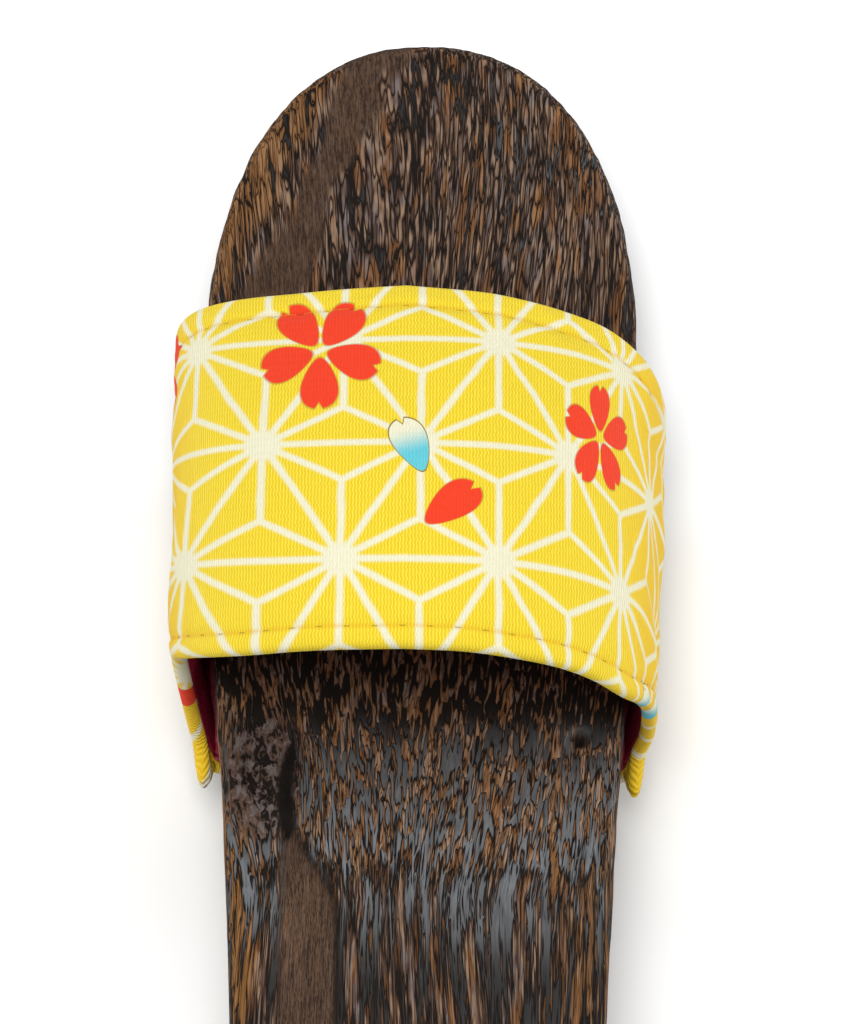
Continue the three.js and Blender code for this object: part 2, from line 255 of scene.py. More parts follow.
def keep_on(mesh, name, *columns):
    """Keeps three values a vertex on the mesh, for its material."""
    data = mesh.attributes.new(name, "FLOAT_VECTOR", "POINT").data
    data.foreach_set("vector", np.stack(columns, axis=-1).ravel())


keep_on(sole.data, "grain_mm", *grain.T)
keep_on(sole.data, "parts", feather, heel_part, fine_grained)
keep_on(sole.data, "amber_dark_and_sheen", amber_and_lit_rim, dark_part, gloss_and_painted_sheen)

# A painted highlight lies on the pin knot's rim, on the side that looks to the toe's left.
lit_side = fade(wood_x - PIN_KNOT[0] - wood_y + PIN_KNOT[1], 3, -2)
pin_rim_highlight = np.exp(-(((pin - 2.5) / 0.8) ** 2)) * upper_face * lit_side
keep_on(sole.data, "lift", relief, knot_pull, pin_rim_highlight)


def put(tree, kind, **settings):
    """A new shader node with its plain settings."""
    node = tree.nodes.new(kind)
    for name, value in settings.items():
        setattr(node, name, value)
    return node


def feed(tree, socket, value):
    if isinstance(value, bpy.types.NodeSocket):
        tree.links.new(value, socket)
    else:
        socket.default_value = value


def calc(tree, operation, *values):
    node = put(tree, "ShaderNodeMath", operation=operation)
    for socket, value in zip(node.inputs, values):
        feed(tree, socket, value)
    return node.outputs[0]


def ramp(tree, value, low, high, start=0.0, end=1.0):
    """Goes smoothly from start to end as value goes from low to high."""
    node = put(tree, "ShaderNodeMapRange", interpolation_type="SMOOTHSTEP")
    for socket, number in zip(node.inputs, (value, low, high, start, end)):
        feed(tree, socket, number)
    return node.outputs[0]


def between(tree, share, first, second):
    """The number that lies this share of the way from first to second."""
    node = put(tree, "ShaderNodeMix", data_type="FLOAT")
    feed(tree, node.inputs[0], share)
    feed(tree, node.inputs[2], first)
    feed(tree, node.inputs[3], second)
    return node.outputs[0]


def blend_colour(tree, share, first, second, way="MIX"):
    node = put(tree, "ShaderNodeMix", data_type="RGBA", blend_type=way)
    feed(tree, node.inputs[0], share)
    feed(tree, node.inputs[6], first)
    feed(tree, node.inputs[7], second)
    return node.outputs[2]


def speckle(tree, vector, detail=2.0, roughness=0.5, distortion=0.0):
    node = put(tree, "ShaderNodeTexNoise")
    feed(tree, node.inputs["Vector"], vector)
    node.inputs["Scale"].default_value = 1.0
    node.inputs["Detail"].default_value = detail
    node.inputs["Roughness"].default_value = roughness
    node.inputs["Distortion"].default_value = distortion
    return node.outputs["Fac"]


def kept(tree, name):
    """The three values that a mesh keeps under a name."""
    node = put(tree, "ShaderNodeSeparateXYZ")
    feed(tree, node.inputs[0], put(tree, "ShaderNodeAttribute", attribute_name=name).outputs["Vector"])
    return node.outputs


def tint(red, green, blue):
    """A colour given as 0-255 display values, as the shader's linear one."""
    linear = [((c / 255 + 0.055) / 1.055) ** 2.4 if c > 10 else c / 3295 for c in (red, green, blue)]
    return (*linear, 1)


CHAR_AND_SHADE_BLACK = tint(19, 13, 9)
BURNT_BROWN = tint(66, 47, 37)
GNARL_BROWN = tint(72, 56, 50)
TAN = tint(132, 107, 87)
PALE_TAN = tint(154, 129, 107)
MAUVE = tint(104, 94, 92)
AMBER = tint(132, 84, 34)
HONEY = tint(138, 96, 50)
RUST = tint(98, 67, 42)
PAINTED_SHEEN_GREY = tint(101, 103, 106)
PLAIN_DARK, PLAIN_BROWN = tint(44, 31, 23), tint(95, 73, 58)

cedar = bpy.data.materials.new("scorched_cedar")
cedar.use_nodes = True
wood = cedar.node_tree
grain_xyz = put(wood, "ShaderNodeAttribute", attribute_name="grain_mm").outputs["Vector"]
split_grain = put(wood, "ShaderNodeSeparateXYZ")
feed(wood, split_grain.inputs[0], grain_xyz)
feather_in, heel_in, fine_in = kept(wood, "parts")
amber_and_lit_rim_in, dark_in, sheen_and_gloss_in = kept(wood, "amber_dark_and_sheen")
lift_in, knot_in, rim_highlight_in = kept(wood, "lift")


def grain_noise(width, run, seed, detail=2.0, roughness=0.55, distortion=0.0):
    """Noise this wide across the grain and this long along it, both in millimetres."""
    node = put(wood, "ShaderNodeMapping")
    node.inputs["Location"].default_value = (seed, seed * 1.7, seed * 0.6)
    node.inputs["Rotation"].default_value = (0.35, 0.2, 0.6)
    node.inputs["Scale"].default_value = (1 / width, 1 / run, 1 / width)
    feed(wood, node.inputs["Vector"], grain_xyz)
    return speckle(wood, node.outputs[0], detail, roughness, distortion)


def off_middle(value):
    """How far a noise is from its middle: 0 along thin winding lines, more in the cells between them."""
    return calc(wood, "ABSOLUTE", calc(wood, "SUBTRACT", value, 0.5))


FLAME_LENGTH = 11.0
FLAME_STAGGER = 44.0

threads = grain_noise(0.24, 6, 21)
patches = grain_noise(2.0, 13, 30)
tones = grain_noise(1.6, 9, 63)
amber_patches = grain_noise(2.2, 15, 51)

# At the toe thin dark lines part the raised fibres from each other.
fibres = calc(wood, "MULTIPLY_ADD", off_middle(grain_noise(0.85, 13, 1, 0.6, 0.5)), 2.0, 0.46)
fine_fibres = calc(wood, "MULTIPLY_ADD", off_middle(grain_noise(0.5, 8, 17, 0.6, 0.5)), 2.4, 0.47)
fibres = calc(wood, "MINIMUM", fibres, fine_fibres)
fibres = calc(wood, "SUBTRACT", fibres, ramp(wood, patches, 0.46, 0.36, 0, 0.11))

# Behind the band the raised grain breaks into short flames: pointed above, blunt towards the heel.
stagger = calc(wood, "MULTIPLY", calc(wood, "SUBTRACT", grain_noise(1.7, 20, 5, 1), 0.5), FLAME_STAGGER)
flame_run = calc(wood, "DIVIDE", calc(wood, "ADD", split_grain.outputs[1], stagger), FLAME_LENGTH)
flame = calc(wood, "SUBTRACT", 0.5, calc(wood, "FRACT", flame_run))
clusters = grain_noise(4.2, 9, 96, 1)
flame_noise = grain_noise(0.6, 15, 8, 0.7, 0.25)
flame_body = calc(wood, "MULTIPLY_ADD", calc(wood, "SUBTRACT", clusters, 0.5), 0.62, flame_noise)
flames = calc(wood, "MULTIPLY_ADD", flame, 0.34, calc(wood, "SUBTRACT", flame_body, 0.028))
flames = calc(wood, "MINIMUM", flames, calc(wood, "ADD", fine_fibres, 0.028))
# Painted shadow: just heel-ward of each flame's blunt end the hollow is painted black.
painted_flame_shadow = calc(wood, "MULTIPLY", ramp(wood, flame, -0.5, -0.4, 1, 0), ramp(wood, flame_body, 0.38, 0.46))
painted_flame_shadow = calc(wood, "MULTIPLY", painted_flame_shadow, feather_in)

# Towards the heel the fibres draw out into long straight streaks.
streaks = calc(wood, "MULTIPLY_ADD", off_middle(grain_noise(0.95, 22, 14, 1.5, 0.5)), 1.9, 0.39)
fine_streaks = calc(wood, "MULTIPLY_ADD", off_middle(grain_noise(0.55, 14, 27, 1)), 2.4, 0.43)
streaks = calc(wood, "MINIMUM", streaks, fine_streaks)
streaks = calc(wood, "MULTIPLY_ADD", calc(wood, "SUBTRACT", grain_noise(2.6, 30, 33), 0.5), 0.95, streaks)
streaks = calc(wood, "MULTIPLY_ADD", sheen_and_gloss_in, -0.065, streaks)

# One height joins the three patterns: hollows lie low in it, dark lines next, raised grain on top.
height = between(wood, feather_in, fibres, flames)
height = between(wood, heel_in, height, streaks)

# In the knot the grain is lost in small round gnarls, browner than the rest, with painted grey highlights on
# the highest of them.
GNARL_WIDTH, GNARL_RUN = 1.3, 2.1
round_place = put(wood, "ShaderNodeMapping")
feed(wood, round_place.inputs["Vector"], put(wood, "ShaderNodeTexCoord").outputs["Object"])
gnarl_scale = (1 / (GNARL_WIDTH * MM), 1 / (GNARL_RUN * MM), 1 / (GNARL_WIDTH * MM))
round_place.inputs["Scale"].default_value = gnarl_scale
gnarl = speckle(wood, round_place.outputs[0], 2.5, 0.55, 0.8)
gnarl = calc(wood, "MULTIPLY_ADD", calc(wood, "SUBTRACT", gnarl, 0.5), 0.5, 0.585)
height = between(wood, ramp(wood, knot_in, 0.25, 0.6, 0, 0.92), height, gnarl)
height = calc(wood, "MULTIPLY_ADD", calc(wood, "SUBTRACT", threads, 0.5), 0.1, height)
height = calc(wood, "MULTIPLY_ADD", lift_in, 0.03, height)
amber_lift = calc(wood, "MULTIPLY_ADD", heel_in, 0.07, 0.03)
height = calc(wood, "MULTIPLY_ADD", amber_and_lit_rim_in, amber_lift, height)
height = calc(wood, "MULTIPLY_ADD", knot_in, -0.05, height)

# From the height come the lacquered hollow with its painted sheen, the raised core of each fibre and its
# paler crest.
hollow = ramp(wood, height, 0.45, 0.37)
core = ramp(wood, height, 0.495, 0.545)
swell = ramp(wood, grain_noise(0.7, 4.5, 71, 1), 0.34, 0.62, 0.3, 1)
crest = calc(wood, "MULTIPLY", ramp(wood, height, 0.54, between(wood, feather_in, 0.7, 0.62)), swell)
amber_patch = ramp(wood, amber_patches, 0.52, 0.62, 0, 0.7)
warm = calc(wood, "MAXIMUM", calc(wood, "MULTIPLY", amber_and_lit_rim_in, 0.8), amber_patch)
warm = calc(wood, "MAXIMUM", warm, calc(wood, "MULTIPLY", feather_in, ramp(wood, tones, 0.42, 0.56, 0.35, 0)))
crest_tone = blend_colour(wood, ramp(wood, tones, 0.47, 0.6), TAN, MAUVE)
# Painted shadow: crests behind the band turn pale only where the sheen mask is up, so they stay browner in
# the band's shadow.
pale_share = calc(wood, "MULTIPLY", feather_in, calc(wood, "MULTIPLY_ADD", sheen_and_gloss_in, 0.75, 0.05))
crest_tone = blend_colour(wood, pale_share, crest_tone, PALE_TAN)
crest_tone = blend_colour(wood, warm, crest_tone, AMBER)
core_tone = blend_colour(wood, calc(wood, "MULTIPLY", feather_in, 0.85), BURNT_BROWN, RUST)
core_tone = blend_colour(wood, crest, core_tone, crest_tone)
rim_warmth = calc(wood, "MULTIPLY", warm, ramp(wood, crest, 0, 0.8, 0.5, 0))
core_tone = blend_colour(wood, rim_warmth, core_tone, AMBER)
core_tone = blend_colour(wood, calc(wood, "MULTIPLY", amber_and_lit_rim_in, 0.7), core_tone, HONEY)
knot_tone_and_glints = blend_colour(wood, ramp(wood, gnarl, 0.57, 0.66, 0, 0.55), GNARL_BROWN, PAINTED_SHEEN_GREY)
core_tone = blend_colour(wood, ramp(wood, knot_in, 0.15, 0.55, 0, 0.85), core_tone, knot_tone_and_glints)
# Painted reflection: where the sheen mask is up the hollows take a blue-grey sheen as colour, streaked along
# the brush lines; elsewhere they stay black.
brushed = calc(wood, "MULTIPLY", ramp(wood, threads, 0.3, 0.7, 0.7, 1), ramp(wood, tones, 0.36, 0.6, 0.7, 1))
hollow_sheen_and_shade = blend_colour(wood, calc(wood, "MULTIPLY", sheen_and_gloss_in, brushed), CHAR_AND_SHADE_BLACK, PAINTED_SHEEN_GREY)
# Between the hollow and the raised core lies a black line: partly char, partly painted shade on each ridge's
# sides.
wood_colour = blend_colour(wood, hollow, CHAR_AND_SHADE_BLACK, hollow_sheen_and_shade)
wood_colour = blend_colour(wood, core, wood_colour, core_tone)
wood_colour = blend_colour(wood, calc(wood, "MULTIPLY", painted_flame_shadow, 0.9), wood_colour, CHAR_AND_SHADE_BLACK)

# The plain strips have a close brown grain of their own.
half_threads = calc(wood, "MULTIPLY", threads, 0.5)
plain_grain = calc(wood, "MULTIPLY_ADD", grain_noise(0.24, 1.2, 44, 2), 0.5, half_threads)
plain = blend_colour(wood, ramp(wood, plain_grain, 0.38, 0.6), PLAIN_DARK, PLAIN_BROWN)
plain = blend_colour(wood, calc(wood, "MULTIPLY_ADD", heel_in, -0.35, 0.35), plain, PLAIN_DARK)
wood_colour = blend_colour(wood, calc(wood, "MULTIPLY", fine_in, 0.85), wood_colour, plain)
wood_colour = blend_colour(wood, calc(wood, "MULTIPLY", rim_highlight_in, 0.5), wood_colour, PAINTED_SHEEN_GREY)
wood_colour = blend_colour(wood, dark_in, wood_colour, CHAR_AND_SHADE_BLACK)

shader = wood.nodes["Principled BSDF"]
feed(wood, shader.inputs["Base Color"], wood_colour)
shader.inputs["Specular IOR Level"].default_value = 0.16
hollow_gloss = between(wood, sheen_and_gloss_in, 0.8, 0.24)
roughness = between(wood, hollow, 0.85, hollow_gloss)
roughness = between(wood, crest, roughness, 0.72)
feed(wood, shader.inputs["Roughness"], between(wood, fine_in, roughness, 0.9))
bump = put(wood, "ShaderNodeBump")
bump.inputs["Strength"].default_value = 1.0
bump.inputs["Distance"].default_value = 0.32 * MM
relief_height = calc(wood, "MULTIPLY_ADD", threads, 0.1, ramp(wood, height, 0.43, 0.66))
feed(wood, bump.inputs["Height"], between(wood, fine_in, relief_height, threads))
feed(wood, shader.inputs["Normal"], bump.outputs[0])
sole.data.materials.clear()
sole.data.materials.append(cedar)
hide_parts("sole_block")
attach(sole, "root")

# Band.
# One wide padded band of yellow crepe over a thin foam, hemmed front and rear, drawn in at both
# ends and let into a slot in each side of the sole.
BALL_WIDTH, HEEL_WIDTH = 88.8, 72.6
TOE_DEPTH, TOE_FULLNESS = 68.0, 2.25
HEEL_DEPTH, HEEL_FULLNESS = 34.0, 2.4
BALL_SWING = 0.7
FORE_HEIGHT, HEEL_HEIGHT, TOE_LIFT = 31.0, 46.0, 2.5
SLOT_FLOOR, SLOT_DEPTH, CLEARANCE = 14.6, 7.0, 0.3
WALL = 3.2
BAND_LENGTH, BAND_SETBACK = 80.2, 67.0
INNER_REACH = (50.1, 48.9)
OUTER_REACH = (49.6, 46.9)
LEAN = 3.6
CROWN = (36.0, 50.0)
CROWN_ARCH = 6.3
PLEAT_DEPTH, PLEAT_COUNT = 0.5, 4
WAIST = ((0.27, 1), (0.4, 0.94), (0.55, 0.64), (0.68, 0.33), (0.8, 0.11), (0.9, 0), (1, 0))
RISE = ((0, 0), (0.12, 0), (0.26, 0.01), (0.42, 0.22), (0.58, 0.62), (0.74, 0.93), (0.88, 1), (1, 1))
LIFT = ((0, 1), (0.12, 0.35), (0.26, 0), (0.42, 0), (0.58, 0), (0.74, 0), (0.88, 0), (1, 0))
GIRTH = {
    "share": (0, 0.04, 0.06, 0.085, 0.12, 0.19, 0.32, 0.48, 0.64, 0.82, 1),
    "slot": (1, 0.46, 0.24, 0.04, 0, 0, 0, 0, 0, 0, 0),
    "keep": (1, 1, 1, 1, 1, 1, 1, 0.93, 0.72, 0.38, 0),
    "drop": (1, 1, 1, 0.95, 0.78, 0.4, 0, 0, 0, 0, 0),
    "crown": (0, 0, 0, 0, 0, 0, 0.16, 0.56, 0.83, 0.965, 1),
    "fold": (0, 0, 0, 0.8, 1, 0.8, 0.1, 0, 0, 0, 0),
}
INNER_SIDE = {
    "share": (0, 0.045, 0.065, 0.12, 0.19, 0.32, 0.48, 0.64, 0.82, 1),
    "reach": (0, 0, 0, 0.4, 0.8, 1, 1, 1, 1, 1),
    "front": (0.3, 0.3, 0.3, 0.25, 0.16, 0.055, 0.015, 0.005, 0.002, 0),
    "rear": (0.085, 0.085, 0.085, 0.04, -0.03, -0.09, -0.05, -0.02, -0.008, 0),
}
OUTER_SIDE = {
    "share": (0, 0.045, 0.065, 0.12, 0.19, 0.32, 0.48, 0.64, 0.82, 1),
    "reach": (0, 0, 0, 0.5, 1, 1, 1, 1, 1, 1),
    "front": (0.36, 0.36, 0.36, 0.31, 0.24, 0.16, 0.12, 0.08, 0.022, 0),
    "rear": (0.1, 0.1, 0.1, 0.06, 0.04, 0.03, 0.03, 0.018, 0.008, 0),
}
# How far, in millimetres, the sewn hems run out past the foam in front and behind.
HEM_OUT = {
    "girth": (-1, -0.7, -0.6, -0.5, -0.4, -0.3, -0.2, 0, 0.1, 0.2, 0.3, 0.4, 0.5, 0.6, 0.7, 1),
    "front": (0, 0, 0, -0.2, -0.4, -0.6, -0.5, 0.6, 0.7, 1.0, 1.8, 2.3, 1.2, 0, 0, 0),
    "rear": (0, 0, 1.0, 1.9, 2.5, 2.7, 2.4, 1.6, 1.4, 1.7, 2.1, 2.7, 3.2, 1.6, 0, 0),
}


def along_table(at, value, t):
    """A smooth curve through a table's rows, straight at its two ends."""
    at = np.array(at, float)
    value = np.array(value, float)
    t = np.clip(t, at[0], at[-1])
    row = np.clip(np.searchsorted(at, t, side="right") - 1, 0, len(at) - 2)
    before = np.maximum(np.arange(len(at)) - 1, 0)
    after = np.minimum(np.arange(len(at)) + 1, len(at) - 1)
    slope = (value[after] - value[before]) / (at[after] - at[before])
    span = at[row + 1] - at[row]
    u = (t - at[row]) / span
    return (
        value[row] * (2 * u**3 - 3 * u**2 + 1)
        + slope[row] * span * (u**3 - 2 * u**2 + u)
        + value[row + 1] * (3 * u**2 - 2 * u**3)
        + slope[row + 1] * span * (u**3 - u**2)
    )


def from_toe(y):
    return np.clip(SOLE_LENGTH / 2 - y, 0, SOLE_LENGTH)


def top_height(y):
    share = from_toe(y) / SOLE_LENGTH
    rise = (HEEL_HEIGHT - FORE_HEIGHT) * along_table(*zip(*RISE), share)
    return FORE_HEIGHT + rise + TOE_LIFT * along_table(*zip(*LIFT), share)


def half_width(y):
    run = from_toe(y)
    full = (HEEL_WIDTH + (BALL_WIDTH - HEEL_WIDTH) * along_table(*zip(*WAIST), run / SOLE_LENGTH)) / 2
    toe = (1 - (1 - np.minimum(run / TOE_DEPTH, 1)) ** TOE_FULLNESS) ** (1 / TOE_FULLNESS)
    left = (SOLE_LENGTH - run) / HEEL_DEPTH
    heel = (1 - (1 - np.minimum(left, 1)) ** HEEL_FULLNESS) ** (1 / HEEL_FULLNESS)
    return full * toe * heel


def middle(y):
    return -BALL_SWING * np.sin(np.pi * np.minimum(from_toe(y) / SOLE_LENGTH / 0.68, 1)) ** 2


def mix(first, second, t):
    return first + (second - first) * t


def on_band(girth, across):
    """The band's outer face in millimetres. girth runs from -1 in the inner slot over the crown at 0
    to 1 in the outer slot, and across from 0 at the front hem to 1 at the rear one."""
    girth, across = np.broadcast_arrays(np.asarray(girth, float), np.asarray(across, float))
    side = np.where(girth < 0, -1.0, 1.0)
    share = 1 - np.abs(girth)

    def by_side(name):
        inner = along_table(INNER_SIDE["share"], INNER_SIDE[name], share)
        outer = along_table(OUTER_SIDE["share"], OUTER_SIDE[name], share)
        return np.where(side < 0, inner, outer)

    def column(name):
        return along_table(GIRTH["share"], GIRTH[name], share)

    set_back = BAND_SETBACK + BAND_LENGTH * (across + mix(by_side("front"), by_side("rear"), across))
    front_out = along_table(HEM_OUT["girth"], HEM_OUT["front"], girth)
    rear_out = along_table(HEM_OUT["girth"], HEM_OUT["rear"], girth)
    y = SOLE_LENGTH / 2 - set_back + front_out * (1 - across) ** 3 - rear_out * across**3
    snug = half_width(y) + side * middle(y) + CLEARANCE + WALL
    reach = np.where(side < 0, mix(*INNER_REACH, across), mix(*OUTER_REACH, across))
    fold = PLEAT_DEPTH * column("fold") * (1 - np.cos(2 * np.pi * PLEAT_COUNT * across)) / 2
    out = (snug + (reach - snug) * by_side("reach") * (1 - fold)) * column("keep")
    out = out - (SLOT_DEPTH + WALL) * column("slot")
    x = side * out - LEAN * column("crown")
    top = top_height(y)
    crown = (mix(*CROWN, across) + 4 * CROWN_ARCH * across * (1 - across)) * column("crown")
    z = top - (top - SLOT_FLOOR - CLEARANCE) * column("drop") + crown
    return np.stack([x, y, z], -1)


def out_of_band(girth, across):
    """The outer face's normal."""
    step = 0.004
    around = on_band(np.clip(girth + step, -1, 1), across) - on_band(np.clip(girth - step, -1, 1), across)
    rearward = on_band(girth, np.clip(across + step, 0, 1)) - on_band(girth, np.clip(across - step, 0, 1))
    normal = np.cross(rearward, around)
    return normal / np.linalg.norm(normal, axis=-1, keepdims=True)


GIRTH_CELLS = 230
FACE_CELLS = 88
ROLL_CELLS = 8
LINED_CELLS = 56
HEM_RADIUS = WALL / 2
FRONT_STITCH, REAR_STITCH = 6.4, 4.3
STITCH_PITCH = 5.3
STITCH_SINK, PUCKER_SINK = 0.34, 0.26
HEM_SWELL, FACE_SWELL = 0.22, 0.2
FOAM_UNEVENNESS = 0.38
LINING_EDGE = 1.9
LINING_THICKNESS = 0.5
LINING_GAP = 0.08

# Soft creases: from (round the foot, back from the front hem) to (the same), lift, width.
CREASES = (
    ((-78, 8), (-55, 17), -0.55, 2.4),
    ((-80, 20), (-60, 25), 0.5, 2.8),
    ((-78, 50), (-58, 41), -0.6, 2.6),
    ((-74, 62), (-52, 56), 0.5, 2.4),
    ((78, 14), (52, 20), -0.55, 2.6),
    ((80, 30), (58, 31), 0.5, 3.0),
    ((76, 56), (50, 47), -0.6, 2.6),
    ((70, 64), (44, 61), 0.45, 2.4),
    ((22, 3), (44, 12), -0.4, 2.2),
    ((-8, 2), (-30, 9), -0.35, 2.0),
    ((12, 76), (36, 70), -0.35, 2.2),
)
TIP_SHARE, TIP_SPREAD, TIP_LENGTH = 0.104, 0.016, 6.4
TIP_DEPTH = 8


def creased(around, run):
    """How far the listed creases lift the cloth at each point."""
    lift = np.zeros(len(around))
    for start, end, height, width in CREASES:
        along = np.subtract(end, start)
        offset = np.stack([around - start[0], run - start[1]], axis=-1)
        share = np.clip(offset @ along / (along @ along), 0, 1)
        away_from = np.linalg.norm(offset - share[:, None] * along, axis=-1)
        lift += height * np.exp(-((away_from / width) ** 2)) * (1 - 0.5 * share)
    return lift


section = []
for k in range(FACE_CELLS):
    section.append(("face", k / FACE_CELLS))
for k in range(ROLL_CELLS):
    section.append(("rear", k / ROLL_CELLS))
for k in range(LINED_CELLS):
    section.append(("lined", 1 - k / LINED_CELLS))
for k in range(ROLL_CELLS + 1):
    section.append(("front", k / ROLL_CELLS))

girths = np.linspace(-1, 1, GIRTH_CELLS + 1)
fine_across = np.linspace(0, 1, 400)
spine = on_band(girths[:, None], fine_across[None, :])
steps = np.linalg.norm(np.diff(spine, axis=1), axis=2)
run_across = np.concatenate([np.zeros((len(girths), 1)), np.cumsum(steps, axis=1)], axis=1)
band_width = run_across[:, -1]
PRINT_ZERO_Y = 15.0
zero_run = np.array([
    np.interp(PRINT_ZERO_Y, spine[i, ::-1, 1], run_across[i, ::-1]) for i in range(len(girths))
])
girth_steps = np.linalg.norm(np.diff(spine, axis=0), axis=2)
run_girth = np.concatenate([np.zeros((1, len(fine_across))), np.cumsum(girth_steps, axis=0)], axis=0)
run_girth = run_girth - run_girth[GIRTH_CELLS // 2]

places = np.zeros((len(section), len(girths), 3))
hems = np.zeros((len(section), len(girths), 3))
prints = np.zeros((len(section), len(girths), 2))
for k, (part, f) in enumerate(section):
    width = band_width
    flat = width - 2 * HEM_RADIUS
    if part == "face":
        run = HEM_RADIUS + flat * f
        inward = np.zeros(len(girths))
        cloth = run
    elif part == "rear":
        turn = math.pi * f
        run = width - HEM_RADIUS + HEM_RADIUS * math.sin(turn)
        inward = np.full(len(girths), HEM_RADIUS * (1 - math.cos(turn)))
        cloth = width - HEM_RADIUS + HEM_RADIUS * turn
    elif part == "lined":
        run = HEM_RADIUS + flat * f
        inward = np.full(len(girths), 2 * HEM_RADIUS)
        cloth = width - HEM_RADIUS + HEM_RADIUS * math.pi + (width - HEM_RADIUS - run)
        from_hem = np.minimum(run, width - run)
        under = np.clip((from_hem - HEM_RADIUS) / 0.3, 0, 1)
        inward = inward - (LINING_THICKNESS + LINING_GAP) * under * under * (3 - 2 * under)
    else:
        turn = math.pi * (1 - f)
        run = np.full(len(girths), HEM_RADIUS * (1 - math.sin(turn)))
        inward = np.full(len(girths), HEM_RADIUS * (1 - math.cos(turn)))
        cloth = HEM_RADIUS * (1 - turn)
    across_here = np.array([np.interp(r, run_across[i], fine_across) for i, r in enumerate(run)])
    base = on_band(girths, across_here)
    normal = out_of_band(girths, across_here)
    around_here = np.array([np.interp(a, fine_across, run_girth[i]) for i, a in enumerate(across_here)])
    share = 1 - np.abs(girths)
    free = np.clip((share - 0.09) / 0.08, 0, 1)
    lift_out = np.zeros(len(girths))
    if part == "face":
        for edge_run, inset in ((run, FRONT_STITCH), (width - run, REAR_STITCH)):
            off = edge_run - inset
            pucker = 0.5 + 0.5 * np.cos(2 * np.pi * around_here / STITCH_PITCH)
            lift_out -= (STITCH_SINK + PUCKER_SINK * pucker) * np.exp(-(off / 0.85) ** 2)
            lift_out += HEM_SWELL * np.exp(-((off + 2.4) / 1.6) ** 2) * (1 - 0.3 * pucker)
            lift_out += FACE_SWELL * np.exp(-((off - 3.4) / 2.4) ** 2) * (1 - 0.4 * pucker)
        for i in range(len(girths)):
            at = Vector((around_here[i] / 17, run[i] / 21, 3.7))
            lift_out[i] += FOAM_UNEVENNESS * noise.noise(at)
        lift_out += creased(around_here, run)
        lift_out *= fade(np.minimum(run, width - run), HEM_RADIUS, 2 * HEM_RADIUS)
    places[k] = base + normal * (lift_out * free - inward)[:, None]
    from_rear_hem = np.clip(width - run, 0, TIP_DEPTH)
    tip = np.exp(-(((share - TIP_SHARE) / TIP_SPREAD) ** 2)) * (1 - from_rear_hem / TIP_DEPTH) ** 2
    places[k, :, 1] -= TIP_LENGTH * tip
    if part != "lined":
        hems[k] = np.stack([run, width - run, around_here], axis=-1)
    prints[k, :, 0] = around_here
    prints[k, :, 1] = cloth - zero_run

bpy.ops.object.select_all(action="DESELECT")
bpy.ops.mesh.primitive_grid_add(x_subdivisions=GIRTH_CELLS, y_subdivisions=len(section) - 1, size=2)
band = bpy.context.object
band.name = "band_cover"
band.data.name = "band_cover"
set_coordinates(band.data, places.reshape(-1, 3))
keep_on(band.data, "hem_mm", *hems.reshape(-1, 3).T)
corner_vertex = np.empty(len(band.data.loops), int)
band.data.loops.foreach_get("vertex_index", corner_vertex)
band.data.uv_layers[0].name = "print_mm"
band.data.uv_layers["print_mm"].data.foreach_set("uv", prints.reshape(-1, 2)[corner_vertex].ravel())
work_on(band)
bpy.ops.object.mode_set(mode="EDIT")
bpy.ops.mesh.select_all(action="SELECT")
bpy.ops.mesh.remove_doubles(threshold=0.001 * MM)
bpy.ops.mesh.select_mode(type="EDGE")
bpy.ops.mesh.select_all(action="DESELECT")
bpy.ops.mesh.select_non_manifold()
bpy.ops.mesh.fill_holes(sides=0)
bpy.ops.mesh.select_all(action="SELECT")
bpy.ops.mesh.normals_make_consistent(inside=False)
bpy.ops.object.mode_set(mode="OBJECT")
bpy.ops.object.shade_smooth()

STAR_PITCH = 30.4
ROW_PITCH = STAR_PITCH * math.sqrt(3) / 2
STAR_AT = (3.2, -2.2)
LINE_WIDTH = 1.35
STAR_RADIUS = 3.8
RIB_PITCH = 0.65
CRIMP_PITCH = 1.7

YELLOW = tint(230, 209, 62)
GROOVE_SHADE_YELLOW = tint(224, 192, 32)
SHADED_SIDE_YELLOW = tint(232, 184, 36)
CREAM = tint(224, 221, 193)
VERMILION = tint(228, 62, 34)
OLIVE = tint(140, 112, 44)
SKY = tint(96, 190, 204)
NEEDLE_HOLE = tint(92, 66, 22)
THREAD = tint(226, 172, 48)
RIB_SHADE = tint(188, 164, 150)
SEAM_SHADE = tint(235, 205, 120)

crepe = bpy.data.materials.new("printed_crepe")
crepe.use_nodes = True
cloth = crepe.node_tree
uv = put(cloth, "ShaderNodeUVMap", uv_map="print_mm").outputs[0]
split_uv = put(cloth, "ShaderNodeSeparateXYZ")
feed(cloth, split_uv.inputs[0], uv)
u_mm = split_uv.outputs[0]
v_mm = split_uv.outputs[1]


def nearest_line(tree, distance, pitch):
    """How far a point is from the nearest of parallel lines at this pitch."""
    phase = calc(tree, "FRACT", calc(tree, "ADD", calc(tree, "DIVIDE", distance, pitch), 0.5))
    return calc(tree, "MULTIPLY", calc(tree, "ABSOLUTE", calc(tree, "SUBTRACT", phase, 0.5)), pitch)


def square(tree, value):
    return calc(tree, "MULTIPLY", value, value)


def turned(tree, u, v, angle):
    """u and v read on axes turned by angle."""
    c, s = math.cos(angle), math.sin(angle)
    first = calc(tree, "MULTIPLY_ADD", u, c, calc(tree, "MULTIPLY", v, s))
    second = calc(tree, "MULTIPLY_ADD", u, -s, calc(tree, "MULTIPLY", v, c))
    return first, second


